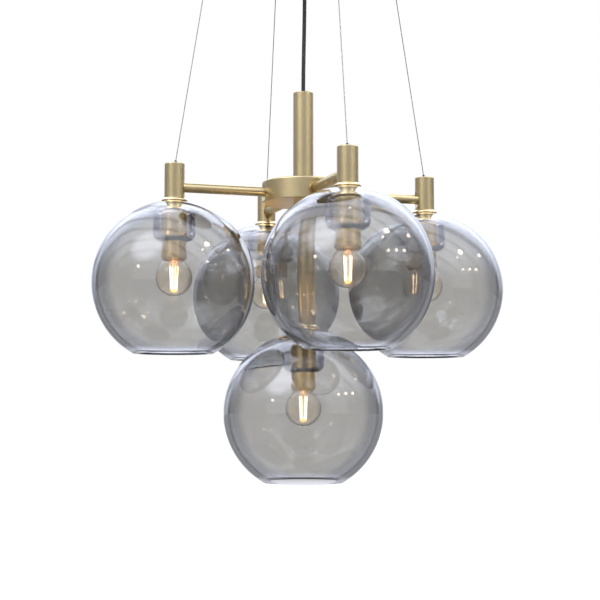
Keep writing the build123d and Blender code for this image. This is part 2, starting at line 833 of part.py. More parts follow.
# ---------------------------------------------------------------- power cord
# The cord leans a little to one side between the stem and the canopy, as a cord with some slack does.
lean = radians(-cord_side)
cord_points = [
    Vector(offset * cos(lean), offset * sin(lean), frame_top + height)
    for height, offset in zip(cord_heights, cord_leans)
]
runs = [after - before for before, after in zip(cord_points, cord_points[1:])]
cord_radii = []
for before, after in zip(runs, runs[1:]):
    half_turn = radians(before.get_angle(after) / 2)
    cord_radii.append(cord_bend_share * min(before.length, after.length) / tan(half_turn))
with BuildPart() as cord:
    with BuildLine() as route:
        FilletPolyline(*cord_points, radius=cord_radii)
    with BuildSketch(Plane(origin=cord_points[0], z_dir=runs[0])):
        Circle(cord_diameter / 2)
    sweep(path=route.line)
keep(cord, "power_cord")
cord_length = sum(edge.length for edge in route.edges())
cord_section = pi * cord_diameter**2 / 4
print("cord radii", [round(radius) for radius in cord_radii])
print("cord length", round(cord_length, 1), "section x length", round(cord_section * cord_length, 1))
print("cord volume", round(cord.part.volume, 1))
print("canopy diameter", round(2 * canopy_radius, 2))
print("wire tilt", round(degrees(wire_tilt), 2), "length", round(wire_top - wire_bottom, 1))
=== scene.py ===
import json
from math import atan2, cos, pi, radians, sin, sqrt

import bmesh
import bpy
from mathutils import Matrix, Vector


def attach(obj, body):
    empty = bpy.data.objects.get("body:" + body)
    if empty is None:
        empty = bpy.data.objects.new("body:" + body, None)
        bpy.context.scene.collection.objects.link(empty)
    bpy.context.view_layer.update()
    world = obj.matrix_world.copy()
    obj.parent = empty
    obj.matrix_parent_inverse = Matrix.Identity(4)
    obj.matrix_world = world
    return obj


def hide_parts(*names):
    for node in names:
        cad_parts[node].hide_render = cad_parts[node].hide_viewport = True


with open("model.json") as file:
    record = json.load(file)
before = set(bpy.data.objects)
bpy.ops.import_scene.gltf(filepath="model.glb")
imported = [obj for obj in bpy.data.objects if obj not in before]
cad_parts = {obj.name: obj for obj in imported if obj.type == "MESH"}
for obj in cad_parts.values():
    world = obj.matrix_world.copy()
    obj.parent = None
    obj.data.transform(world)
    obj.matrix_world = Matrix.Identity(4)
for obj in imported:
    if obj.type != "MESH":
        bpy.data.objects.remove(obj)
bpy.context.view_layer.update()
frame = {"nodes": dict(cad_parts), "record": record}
scene = bpy.context.scene
nodes = frame["nodes"]

ARMS = {"right": 0, "back": 90, "left": 180, "front": 270}
UNITS = [*ARMS, "lower"]

# ------------------------------------------------------------------ sizes, as in the part's source (mm)
MM = 0.001
LAMP_DROP = 340.0
ARM_REACH = 166.6
WIRE_APEX = 1040.0
WIRE_DIAMETER = 1.2
WIRE_HOLE = 4.8
SEAT_CLEARANCE = 0.02
LOWER_BALL = 3.5
LOWER_SEAT = 1.6
UPPER_BALL = 5.0
UPPER_SEAT = 3.0
CANOPY_HEIGHT = 38.0
BUSHING_FLANGE = 2.0
CLAMP_BODY = 12.0
WIRE_TAIL = 6.0
CORD_DIAMETER = 5.0
CORD_SIDE = 17.86
CORD_HEIGHTS = [-20.0, 29.0, 80.0, 114.0, 152.0, 190.0, 226.0, 252.0, 282.0, 311.0]
CORD_LEANS = [0.0, -0.6, 0.0, 0.0, 0.6, 1.4, 1.8, 1.4, 0.0, 0.0]
LAMP_TUBE_HEIGHT = 46.8
CUP_TOP = 100.5
HUB_BOTTOM = 42.0
LOWER_TUBE = 163.7
GLOBE_LEVEL = -LAMP_DROP - LAMP_TUBE_HEIGHT - CUP_TOP
LOWER_GLOBE_LEVEL = -LAMP_DROP - HUB_BOTTOM - LOWER_TUBE - CUP_TOP
FILAMENT_TURN = 9.0


def outward(angle, distance=1.0, height=0.0):
    """The point, in millimetres, at a distance from the hub's centre line in an arm's direction."""
    turn = radians(angle)
    return Vector((distance * cos(turn), distance * sin(turn), height))


def lamp_centre(unit):
    """The centre of a lamp's globe, in millimetres."""
    if unit == "lower":
        return Vector((0, 0, LOWER_GLOBE_LEVEL))
    return outward(ARMS[unit], ARM_REACH, GLOBE_LEVEL)


# ------------------------------------------------------------------ camera
LENS = 80.05  # millimetres, on a sensor of this width
SENSOR_WIDTH = 36
CAMERA_PLACE = (-0.5143, -1.5963, -0.6438)
CAMERA_PITCH = 0.0827  # radians above the horizon
CAMERA_HEADING = -0.3092

camera_data = bpy.data.cameras.new("camera")
camera_data.lens = LENS
camera_data.sensor_width = SENSOR_WIDTH
camera = bpy.data.objects.new("camera", camera_data)
camera.location = CAMERA_PLACE
camera.rotation_euler = (pi / 2 + CAMERA_PITCH, 0, CAMERA_HEADING)
scene.collection.objects.link(camera)
scene.camera = camera
scene.view_settings.view_transform = "Standard"


# ------------------------------------------------------------------ cord and wires
POINT_RADIUS = 0.0005  # a curve's box grows by this, so it is far less than the cord's own radius
ROUND_STEPS = 6
LENGTH_STEPS = 12
SMOOTHNESS = 3  # order of the line through the control points


def nurbs(name, points, diameter):
    """A round cord along a smooth line with these control points, in millimetres."""
    curve = bpy.data.curves.new(name, "CURVE")
    curve.dimensions = "3D"
    curve.bevel_depth = diameter / 2 * MM / POINT_RADIUS
    curve.bevel_resolution = ROUND_STEPS
    curve.resolution_u = LENGTH_STEPS
    curve.use_fill_caps = True
    spline = curve.splines.new("NURBS")
    spline.points.add(len(points) - 1)
    for point, place in zip(spline.points, points):
        point.co = (*(Vector(place) * MM), 1)
        point.radius = POINT_RADIUS
    spline.order_u = SMOOTHNESS
    spline.use_endpoint_u = True
    piece = bpy.data.objects.new(name, curve)
    scene.collection.objects.link(piece)
    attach(piece, "fixture")
    return piece


lean = radians(-CORD_SIDE)
cord_route = [
    Vector((offset * cos(lean), offset * sin(lean), height - LAMP_DROP))
    for height, offset in zip(CORD_HEIGHTS, CORD_LEANS)
]
power_cord = nurbs("mains_cord", cord_route, CORD_DIAMETER)
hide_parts("power_cord")


def ball_depth(ball, hole, seat):
    """From the mouth of a hole to the centre of the ball on the 45 degree seat behind it."""
    return (ball + SEAT_CLEARANCE) * sqrt(2) - (hole / 2 - seat)


lower_ball_level = -LAMP_DROP - ball_depth(LOWER_BALL, WIRE_HOLE, LOWER_SEAT)
upper_ball_level = -CANOPY_HEIGHT - BUSHING_FLANGE + ball_depth(UPPER_BALL, WIRE_HOLE, UPPER_SEAT)
apex_level = WIRE_APEX - LAMP_DROP
wire_tilt = atan2(ARM_REACH, apex_level - lower_ball_level)
wire_bottom = -LOWER_BALL
wire_top = (upper_ball_level - lower_ball_level) / cos(wire_tilt) + CLAMP_BODY + WIRE_TAIL
wires = {}
for side, angle in ARMS.items():
    along = outward(angle, -sin(wire_tilt), cos(wire_tilt))
    foot = outward(angle, ARM_REACH, lower_ball_level)
    route = [foot + along * wire_bottom, foot + along * wire_top]
    wire = nurbs(f"steel_wire_{side}", route, WIRE_DIAMETER)
    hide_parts(f"suspension_wire_{side}")
    wires[side] = wire


# ------------------------------------------------------------------ inside of the bulbs
# Heights in millimetres above the globe's centre.
FILAMENTS = 4
FILAMENT_TOP = 22.0
FILAMENT_BASE = -10.3
SPREAD_TOP = 5.2
SPREAD_BASE = 3.7
STRIP_RADIUS = 0.66
TIP_LENGTH = 1.7
WIRE_RADIUS = 0.28
JOINT = -11.6
# The glass stem: radius and height.
PRESS = [(5.6, 35.2), (5.2, 33.6), (3.1, 32.0), (2.0, 30.0), (1.9, 28.4), (2.3, 27.4), (1.5, 27.0)]
STRIP_RINGS = 24
STRIP_END = 0.55  # the lit strip's ends, as a share of its radius
BEAD_SWELL = 0.08  # half of how much the beads stand out, as a share
TIP_SWELL = 1.3  # the bare tips against the wires
ELBOW_RISE = 1.6
ELBOW_REACH = 0.8  # share of the strips' spread
PRESS_REACH = 1.4
JOINT_END = 0.8
PRESS_END = 0.4
ROUND_SIDES = 12
STEM_SIDES = 24
GLOW, LEAD, STEM = range(3)  # material slots of a bulb's inside


def ring_of(mesh, centre, along, radius, sides=ROUND_SIDES):
    """A ring of points round a line."""
    turn = along.to_track_quat("Z", "Y").to_matrix()
    points = []
    for number in range(sides):
        angle = 2 * pi * number / sides
        spot = centre + turn @ Vector((radius * cos(angle), radius * sin(angle), 0))
        points.append(mesh.verts.new(spot * MM))
    return points


def skin(mesh, rings, material):
    """Faces between the rings, and a cap at each end."""
    faces = []
    for lower, upper in zip(rings, rings[1:]):
        for number in range(len(lower)):
            after = (number + 1) % len(lower)
            faces.append((lower[number], lower[after], upper[after], upper[number]))
    faces += [tuple(reversed(rings[0])), tuple(rings[-1])]
    for corners in faces:
        face = mesh.faces.new(corners)
        face.material_index = material
        face.smooth = True


def rod(mesh, start, end, radius, material):
    """A thin round rod."""
    along = end - start
    skin(mesh, [ring_of(mesh, place, along, radius) for place in (start, end)], material)


def filament_strip(mesh, base, top):
    """A lit strip: a row of small beads of phosphor between two bare metal tips."""
    along = (top - base).normalized()
    lit_base, lit_top = base + along * TIP_LENGTH, top - along * TIP_LENGTH
    rings = []
    for number in range(STRIP_RINGS + 1):
        share = number / STRIP_RINGS
        bead = STRIP_RADIUS * (1 - BEAD_SWELL + BEAD_SWELL * cos(pi * number))
        radius = bead * (STRIP_END if number in (0, STRIP_RINGS) else 1.0)
        rings.append(ring_of(mesh, lit_base.lerp(lit_top, share), along, radius))
    skin(mesh, rings, GLOW)
    rod(mesh, base, lit_base, WIRE_RADIUS * TIP_SWELL, LEAD)
    rod(mesh, lit_top, top, WIRE_RADIUS * TIP_SWELL, LEAD)


def bulb_inside():
    """Four lit strips, their wires and the glass stem, round the bulb's own centre line."""
    mesh = bmesh.new()
    up = Vector((0, 0, 1))
    rings = [ring_of(mesh, up * height, up, radius, STEM_SIDES) for radius, height in reversed(PRESS)]
    skin(mesh, rings, STEM)
    for number in range(FILAMENTS):
        angle = FILAMENT_TURN + 360 * number / FILAMENTS
        base = outward(angle, SPREAD_BASE, FILAMENT_BASE)
        top = outward(angle, SPREAD_TOP, FILAMENT_TOP)
        elbow = outward(angle, SPREAD_TOP * ELBOW_REACH, FILAMENT_TOP + ELBOW_RISE)
        filament_strip(mesh, base, top)
        rod(mesh, base, up * JOINT, WIRE_RADIUS, LEAD)
        rod(mesh, top, elbow, WIRE_RADIUS, LEAD)
        rod(mesh, elbow, outward(angle, PRESS_REACH, PRESS[-2][1]), WIRE_RADIUS, LEAD)
    rod(mesh, up * (JOINT - JOINT_END), up * (PRESS[-1][1] + PRESS_END), WIRE_RADIUS, LEAD)
    data = bpy.data.meshes.new("bulb_inside")
    mesh.to_mesh(data)
    mesh.free()
    return data


inside_mesh = bulb_inside()
for unit in UNITS:
    inside = bpy.data.objects.new(f"bulb_inside_{unit}", inside_mesh)
    inside.location = lamp_centre(unit) * MM
    scene.collection.objects.link(inside)
    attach(inside, f"{unit}_bulb")
    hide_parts(f"bulb_filament_{unit}")


# ------------------------------------------------------------------ flared edge of each lampholder cup
# Radius and height, in millimetres, above the lower end of the lamp's tube.
FLARE = [
    (12.52, -0.6), (12.52, 3.5), (12.9, 3.4), (13.3, 2.9), (13.9, 2.35), (14.7, 1.95), (15.5, 1.6),
    (16.0, 1.1), (16.1, 0.5), (15.9, 0.0), (15.5, -0.3), (14.6, -0.6),
]
FLARE_SIDES = 96


def flare_mesh():
    """The cup's cast edge, which turns out from the tube just above the glass."""
    mesh = bmesh.new()
    up = Vector((0, 0, 1))
    rings = [ring_of(mesh, up * height, up, radius, FLARE_SIDES) for radius, height in FLARE]
    for lower, upper in zip(rings, rings[1:] + rings[:1]):
        for number in range(FLARE_SIDES):
            after = (number + 1) % FLARE_SIDES
            face = mesh.faces.new((lower[number], upper[number], upper[after], lower[after]))
            face.smooth = True
    bmesh.ops.recalc_face_normals(mesh, faces=mesh.faces)
    data = bpy.data.meshes.new("cup_flare")
    mesh.to_mesh(data)
    mesh.free()
    return data


cup_flare = flare_mesh()
for unit in UNITS:
    flare = bpy.data.objects.new(f"cup_flare_{unit}", cup_flare)
    flare.location = (lamp_centre(unit) + Vector((0, 0, CUP_TOP))) * MM
    scene.collection.objects.link(flare)
    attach(flare, "fixture")


# ------------------------------------------------------------------ materials
def feed(tree, socket, value):
    """Link a value into a socket, or write it there where it is a plain number or colour."""
    if isinstance(value, bpy.types.NodeSocket):
        tree.links.new(value, socket)
    else:
        socket.default_value = value


class Shader:
    """A node material with a Principled shader, built by short calls."""

    def __init__(self, name):
        self.material = bpy.data.materials.new(name)
        self.material.use_nodes = True
        self.tree = self.material.node_tree
        self.principled = self.tree.nodes["Principled BSDF"]
        self.output = self.tree.nodes["Material Output"]

    def add(self, kind, **settings):
        node = self.tree.nodes.new(kind)
        for key, value in settings.items():
            setattr(node, key, value)
        return node

    def link(self, source, target):
        self.tree.links.new(source, target)

    def put(self, **values):
        for key, value in values.items():
            self.principled.inputs[key.replace("_", " ")].default_value = value

    def place(self, scale=(1, 1, 1)):
        """The place on the object, stretched, so a pattern keeps its real size."""
        mapping = self.add("ShaderNodeMapping")
        mapping.inputs["Scale"].default_value = scale
        self.link(self.add("ShaderNodeTexCoord").outputs["Object"], mapping.inputs["Vector"])
        return mapping.outputs["Vector"]

    def noise(self, where, scale, detail=3.0, roughness=0.5):
        noise = self.add("ShaderNodeTexNoise")
        noise.inputs["Scale"].default_value = scale
        noise.inputs["Detail"].default_value = detail
        noise.inputs["Roughness"].default_value = roughness
        self.link(where, noise.inputs["Vector"])
        return noise.outputs["Fac"]

    def spread(self, value, low, high, start=0.3, end=0.7):
        """Map a value from one range to another."""
        spread = self.add("ShaderNodeMapRange")
        for key, number in zip(("From Min", "From Max", "To Min", "To Max"), (start, end, low, high)):
            spread.inputs[key].default_value = number
        self.link(value, spread.inputs["Value"])
        return spread.outputs["Result"]

    def blend(self, factor, first, second):
        """The first colour, or the second where the factor is 1."""
        mix = self.add("ShaderNodeMix", data_type="RGBA")
        sockets = (mix.inputs["Factor"], mix.inputs[6], mix.inputs[7])
        for socket, value in zip(sockets, (factor, first, second)):
            feed(self.tree, socket, value)
        return mix.outputs[2]

    def math(self, operation, *values):
        node = self.add("ShaderNodeMath", operation=operation)
        for socket, value in zip(node.inputs, values):
            feed(self.tree, socket, value)
        return node.outputs["Value"]

    def facing(self):
        """0 where the surface is seen head-on, 1 where it is seen edge-on."""
        weight = self.add("ShaderNodeLayerWeight")
        weight.inputs["Blend"].default_value = 0.5
        return weight.outputs["Facing"]

    def bump(self, height, strength, distance):
        bump = self.add("ShaderNodeBump")
        bump.inputs["Strength"].default_value = strength
        bump.inputs["Distance"].default_value = distance
        self.link(height, bump.inputs["Height"])
        self.link(bump.outputs["Normal"], self.principled.inputs["Normal"])


METAL_CLOUDS = 45.0  # patches of slightly deeper metal, per metre
METAL_CLOUD_DEPTH = 0.35
BRUSH_GRAIN = 0.000012  # metres


def brushed_metal(name, color, deep, brush, roughness=(0.26, 0.4)):
    """Satin metal: brush marks run across the long direction given by the brush scale."""
    shader = Shader(name)
    lines = shader.noise(shader.place(brush), 1.0, detail=4.0, roughness=0.65)
    cloud = shader.noise(shader.place(), METAL_CLOUDS)
    tone = shader.blend(shader.spread(lines, 0.0, 1.0), deep, color)
    tone = shader.blend(shader.spread(cloud, 0.0, METAL_CLOUD_DEPTH), tone, deep)
    shader.link(tone, shader.principled.inputs["Base Color"])
    shader.put(Metallic=1.0, Anisotropic=0.25)
    shader.link(shader.spread(lines, *roughness), shader.principled.inputs["Roughness"])
    shader.bump(lines, 0.35, BRUSH_GRAIN)
    return shader.material


BRASS = (0.54, 0.45, 0.265, 1)
BRASS_DEEP = (0.42, 0.34, 0.19, 1)
# A lighter, warmer copy of the brass for the lampholder cups and shade rings: painted light from the lit
# bulbs on the brass inside the globes.
PAINTED_BULB_LIT_BRASS = (0.92, 0.72, 0.38, 1)
PAINTED_BULB_LIT_BRASS_DEEP = (0.7, 0.5, 0.22, 1)
# A paler copy of the brass for the cups' flared edge: painted highlight.
PAINTED_HIGHLIGHT_BRASS = (0.95, 0.85, 0.62, 1)
PAINTED_HIGHLIGHT_BRASS_DEEP = (0.8, 0.68, 0.42, 1)
# How fine the brush marks are across and along their own direction.
FINE = 9000.0
LONG = 260.0
brass_upright = brushed_metal("satin_brass", BRASS, BRASS_DEEP, (LONG, LONG, FINE))
# Painted light: the cups and shade rings are the same brass, lightened and warmed as if lit by the bulbs.
brass_painted_bulb_light = brushed_metal(
    "turned_brass_painted_bulb_light", PAINTED_BULB_LIT_BRASS, PAINTED_BULB_LIT_BRASS_DEEP, (LONG, LONG, FINE), (0.12, 0.24)
)
# Smoother than the rest of the brass, and paler: the paleness is a painted highlight.
brass_painted_highlight = brushed_metal(
    "polished_brass_painted_highlight", PAINTED_HIGHLIGHT_BRASS, PAINTED_HIGHLIGHT_BRASS_DEEP, (LONG, LONG, FINE), (0.16, 0.3)
)
brass_x = brushed_metal("satin_brass_arm_x", BRASS, BRASS_DEEP, (FINE, LONG, LONG))
brass_y = brushed_metal("satin_brass_arm_y", BRASS, BRASS_DEEP, (LONG, FINE, LONG))
steel = brushed_metal("zinc_steel", (0.5, 0.5, 0.49, 1), (0.36, 0.36, 0.36, 1), (700, 700, 700))
dark_steel = brushed_metal(
    "dark_steel", (0.12, 0.115, 0.105, 1), (0.06, 0.058, 0.055, 1), (900, 900, 900), (0.3, 0.5)
)
nickel = brushed_metal("nickel", (0.6, 0.57, 0.5, 1), (0.45, 0.42, 0.36, 1), (LONG, LONG, 3000))


STRANDS = 900.0
STRAND_WANDER = 0.6
STRAND_GRAIN = 0.00008
STRAND_DARK = (0.16, 0.16, 0.165, 1)
STRAND_PALE = (0.36, 0.36, 0.365, 1)


def strand_steel():
    """Wire rope: fine strands twisted round the wire."""
    shader = Shader("wire_rope")
    wave = shader.add("ShaderNodeTexWave", wave_type="BANDS", bands_direction="Z")
    wave.inputs["Scale"].default_value = STRANDS
    wave.inputs["Distortion"].default_value = STRAND_WANDER
    shader.link(shader.place(), wave.inputs["Vector"])
    shader.link(
        shader.blend(wave.outputs["Fac"], STRAND_DARK, STRAND_PALE),
        shader.principled.inputs["Base Color"],
    )
    shader.put(Metallic=1.0, Roughness=0.38)
    shader.bump(wave.outputs["Fac"], 0.5, STRAND_GRAIN)
    return shader.material


PLASTIC_GRAIN = 0.00002


def plastic(name, color, dark, scale, roughness=(0.4, 0.55)):
    """Moulded plastic, rubber or porcelain with a fine surface."""
    shader = Shader(name)
    fine = shader.noise(shader.place(), scale, detail=4.0)
    shader.link(
        shader.blend(shader.spread(fine, 0.0, 1.0), dark, color), shader.principled.inputs["Base Color"]
    )
    shader.link(shader.spread(fine, *roughness), shader.principled.inputs["Roughness"])
    shader.bump(fine, 0.4, PLASTIC_GRAIN)
    return shader.material


cord_black = plastic("black_cord", (0.018, 0.018, 0.019, 1), (0.010, 0.010, 0.011, 1), 1800.0)
lead_black = plastic("black_lead", (0.022, 0.022, 0.022, 1), (0.014, 0.014, 0.014, 1), 1500.0)
bushing_black = plastic("black_plastic", (0.025, 0.025, 0.025, 1), (0.015, 0.015, 0.015, 1), 900.0)
white_plastic = plastic("white_plastic", (0.72, 0.72, 0.69, 1), (0.64, 0.64, 0.61, 1), 500.0)
porcelain = plastic("porcelain", (0.78, 0.76, 0.71, 1), (0.7, 0.68, 0.63, 1), 120.0, (0.14, 0.22))


SMOKE = (0.62, 0.615, 0.6, 1)
SMOKE_SLANT = (0.38, 0.38, 0.4, 1)
# Near black at the globe's very edge: painted shade for the dark band that refraction shows there.
PAINTED_EDGE_SHADE = (0.01, 0.01, 0.012, 1)
# The well's glass where it turns away: dark violet, painted shade. Where it faces the viewer it takes the
# pale rim tint, so the brass behind shows lighter: painted light.
PAINTED_WELL_SHADE = (0.07, 0.06, 0.1, 1)
SMOKE_RIM = (0.9, 0.92, 1.0, 1)
SLANT = (0.36, 0.5)  # how far the surface turns away where the tint deepens
# Where the painted dark edge band fades in, as how far the surface turns away.
EDGE = (0.66, 0.76)
# Where the well's painted tint passes from pale to dark violet.
WELL_SLANT = (0.25, 0.55)
SMOKE_CLOUDS = 14.0
SMOKE_CLOUD_DEPTH = 0.06
SMOKE_SHADOW = (0.55, 0.55, 0.55, 1)
RIPPLES = 9.0
RIPPLE_HEIGHT = 0.0004
# Where the sunk well and the cut rim are, as shares of the globe's width and height.
WELL_REACH = (0.145, 0.155)
WELL_FLOOR = 0.55
RIM_REACH = (0.012, 0.045)


def smoked_glass():
    """Grey glass: darker where it's seen at a slant, near black at the very edge as painted shade; in the
    well, pale head-on so the brass behind shows lighter (painted light) and dark violet at its sides
    (painted shade); pale at the cut rim.
    """
    shader = Shader("smoked_glass")
    facing = shader.facing()
    tint = shader.blend(shader.spread(facing, 0.0, 1.0, *SLANT), SMOKE, SMOKE_SLANT)
    # Painted shade: the tint turns near black at the very edge.
    tint = shader.blend(shader.spread(facing, 0.0, 1.0, *EDGE), tint, PAINTED_EDGE_SHADE)
    globe = shader.add("ShaderNodeSeparateXYZ")
    shader.link(shader.add("ShaderNodeTexCoord").outputs["Generated"], globe.inputs["Vector"])
    offsets = [shader.math("SUBTRACT", globe.outputs[axis], 0.5) for axis in "XY"]
    squares = [shader.math("MULTIPLY", offset, offset) for offset in offsets]
    reach = shader.math("SQRT", shader.math("ADD", *squares))
    in_well = shader.math(
        "MULTIPLY",
        shader.spread(reach, 1.0, 0.0, *WELL_REACH),
        shader.math("GREATER_THAN", globe.outputs["Z"], WELL_FLOOR),
    )
    # Painted light and shade in the well: pale where the glass faces the viewer, dark violet where it turns
    # away.
    well_painted_tint = shader.blend(shader.spread(facing, 0.0, 1.0, *WELL_SLANT), SMOKE_RIM, PAINTED_WELL_SHADE)
    tint = shader.blend(in_well, tint, well_painted_tint)
    tint = shader.blend(shader.spread(globe.outputs["Z"], 1.0, 0.0, *RIM_REACH), tint, SMOKE_RIM)
    cloud = shader.noise(shader.place(), SMOKE_CLOUDS, detail=2.0)
    tint = shader.blend(shader.spread(cloud, 0.0, SMOKE_CLOUD_DEPTH), tint, SMOKE_SLANT)
    shader.link(tint, shader.principled.inputs["Base Color"])
    shader.put(Roughness=0.0, IOR=1.5, Transmission_Weight=1.0)
    ripple = shader.noise(shader.place(), RIPPLES, detail=1.0)
    shader.bump(ripple, 0.25, RIPPLE_HEIGHT)
    see_through(shader, SMOKE_SHADOW)
    return shader.material


HAZE = 0.3  # share of the bulb's glass that spreads the filaments' light
HAZE_ROUGHNESS = 0.26
BULB_IOR = 1.46
CLEAR_FRONT = (0.98, 0.96, 0.92, 1)
CLEAR_EDGE = (0.55, 0.5, 0.44, 1)
CLEAR_HAZE = (1.0, 0.97, 0.92, 1)
CLEAR_SLANT = (0.4, 0.85)
CLEAR_SHADOW = (0.95, 0.95, 0.95, 1)
BULB_RIPPLES = 60.0
BULB_RIPPLE_HEIGHT = 0.0002
BULB_GLOW = (1.0, 0.72, 0.4, 1)


def clear_glass(name, glow_level):
    """Thin clear glass with a trace of warm grey, lit a little from within."""
    shader = Shader(name)
    shader.put(Emission_Color=BULB_GLOW, Emission_Strength=glow_level)
    slant = shader.spread(shader.facing(), 0.0, 1.0, *CLEAR_SLANT)
    tint = shader.blend(slant, CLEAR_FRONT, CLEAR_EDGE)
    ripple = shader.noise(shader.place(), BULB_RIPPLES, detail=1.0)
    shader.bump(ripple, 0.3, BULB_RIPPLE_HEIGHT)
    shader.link(tint, shader.principled.inputs["Base Color"])
    shader.put(Roughness=0.0, IOR=BULB_IOR, Transmission_Weight=1.0)
    haze = shader.add("ShaderNodeBsdfRefraction")
    haze.inputs["Roughness"].default_value = HAZE_ROUGHNESS
    haze.inputs["IOR"].default_value = BULB_IOR
    haze.inputs["Color"].default_value = CLEAR_HAZE
    hazed = shader.add("ShaderNodeMixShader")
    hazed.inputs["Fac"].default_value = HAZE
    shader.link(shader.principled.outputs["BSDF"], hazed.inputs[1])
    shader.link(haze.outputs["BSDF"], hazed.inputs[2])
    see_through(shader, CLEAR_SHADOW, hazed.outputs["Shader"])
    return shader.material


def see_through(shader, shade, glass=None):
    """Let lamp light pass the glass, so what stands inside it isn't in full shadow."""
    clear = shader.add("ShaderNodeBsdfTransparent")
    clear.inputs["Color"].default_value = shade
    mix = shader.add("ShaderNodeMixShader")
    shader.link(shader.add("ShaderNodeLightPath").outputs["Is Shadow Ray"], mix.inputs["Fac"])
    shader.link(glass or shader.principled.outputs["BSDF"], mix.inputs[1])
    shader.link(clear.outputs["BSDF"], mix.inputs[2])
    shader.link(mix.outputs["Shader"], shader.output.inputs["Surface"])


def glowing(name, color, strength):
    """A glowing material: the lit filaments, and the lead wires, whose glow is painted light from the
    filaments.
    """
    shader = Shader(name)
    shader.put(Base_Color=color, Roughness=0.6, Emission_Color=color, Emission_Strength=strength)
    shader.material.cycles.emission_sampling = "NONE"
    return shader.material


smoke = smoked_glass()
clear = clear_glass("clear_glass", 0.012)
glow = glowing("filament_glow", (1.0, 0.87, 0.66, 1), 3.6)
# The lead wires glow a little: painted light from the filaments on them.
lead_wire_painted_glow = glowing("painted_glow_lead_wire", (1.0, 0.62, 0.22, 1), 0.25)
stem_glass = clear_glass("stem_glass", 0.02)
for material in (glow, lead_wire_painted_glow, stem_glass):
    inside_mesh.materials.append(material)


def paint(node, material):
    """Give a node of the model a material in every slot."""
    for slot in nodes[node].material_slots:
        slot.material = material


SLOTS = {
    "brass": brass_upright,
    "steel": steel,
    "dark_steel": dark_steel,
    "nickel": nickel,
    "cord": cord_black,
    "lead": lead_black,
    "black_plastic": bushing_black,
    "white_plastic": white_plastic,
    "porcelain": porcelain,
    "smoked_glass": smoke,
    "clear_glass": clear,
    "filament": glow,
}
for part in frame["record"]["subparts"]:
    paint(part["node"], SLOTS[part["material_slot"]])
for side, angle in ARMS.items():
    paint(f"arm_{side}", brass_x if angle % 180 == 0 else brass_y)
for unit in UNITS:
    # The cups and rings take the lighter brass, painted light from the bulbs.
    paint(f"lampholder_cup_{unit}", brass_painted_bulb_light)
    paint(f"shade_ring_{unit}", brass_painted_bulb_light)
# The flared edge gets the paler brass, a painted highlight.
cup_flare.materials.append(brass_painted_highlight)
power_cord.data.materials.append(cord_black)
rope = strand_steel()
for wire in wires.values():
    wire.data.materials.append(rope)


# ------------------------------------------------------------------ floor, world and lamps
FLOOR_MIRRORED = 0.62  # the floor as metal and glass mirror it
FLOOR_TINT = (0.92, 0.94, 1.0, 1)
FLOOR_LIFT = 0.3  # added for the camera alone, so that the floor melts into white
FLOOR_LEVEL = -1.5
FLOOR_REACH = 60
FLOOR_DARK = (0.8, 0.8, 0.8, 1)
FLOOR_PALE = (0.84, 0.84, 0.84, 1)
WHITE = (1, 1, 1, 1)
ANY_MIRROR = 0.5  # a ray that met a mirroring surface has a higher glossy depth


def floor_material():
    """Pale floor that keeps the object's shadow and melts into the white background."""
    shader = Shader("pale_floor")
    cloud = shader.noise(shader.place(), 3.0)
    tone = shader.blend(shader.spread(cloud, 0.0, 1.0), FLOOR_DARK, FLOOR_PALE)
    shader.link(tone, shader.principled.inputs["Base Color"])
    path = shader.add("ShaderNodeLightPath")
    lift = shader.math("MULTIPLY", path.outputs["Is Camera Ray"], FLOOR_LIFT)
    shader.put(Roughness=0.8, Emission_Color=WHITE)
    shader.link(lift, shader.principled.inputs["Emission Strength"])
    surface = shader.principled.outputs["BSDF"]
    ways = (
        (path.outputs["Is Transmission Ray"], 1.0, WHITE),
        (shader.math("GREATER_THAN", path.outputs["Glossy Depth"], ANY_MIRROR), FLOOR_MIRRORED, FLOOR_TINT),
    )
    for way, level, tint in ways:
        plain = shader.add("ShaderNodeEmission")
        plain.inputs["Strength"].default_value = level
        plain.inputs["Color"].default_value = tint
        mix = shader.add("ShaderNodeMixShader")
        shader.link(way, mix.inputs["Fac"])
        shader.link(surface, mix.inputs[1])
        shader.link(plain.outputs["Emission"], mix.inputs[2])
        surface = mix.outputs["Shader"]
    shader.link(surface, shader.output.inputs["Surface"])
    return shader.material


floor_mesh = bpy.data.meshes.new("floor")
corners = [(-1, -1), (1, -1), (1, 1), (-1, 1)]
places = [(x * FLOOR_REACH, y * FLOOR_REACH, FLOOR_LEVEL) for x, y in corners]
floor_mesh.from_pydata(places, [], [(0, 1, 2, 3)])
floor_mesh.materials.append(floor_material())
floor = bpy.data.objects.new("floor", floor_mesh)
scene.collection.objects.link(floor)

world = bpy.data.worlds.new("studio")
world.use_nodes = True
scene.world = world
tree = world.node_tree


def world_node(kind, **settings):
    node = tree.nodes.new(kind)
    for key, value in settings.items():
        setattr(node, key, value)
    return node


def world_math(operation, *values):
    node = world_node("ShaderNodeMath", operation=operation)
    for socket, value in zip(node.inputs, values):
        feed(tree, socket, value)
    return node.outputs["Value"]


def smooth(value, start, end, low, high):
    """Map a value from one range to another, with soft ends."""
    node = world_node("ShaderNodeMapRange", interpolation_type="SMOOTHSTEP")
    for key, number in zip(("From Min", "From Max", "To Min", "To Max"), (start, end, low, high)):
        node.inputs[key].default_value = number
    tree.links.new(value, node.inputs["Value"])
    return node.outputs["Result"]


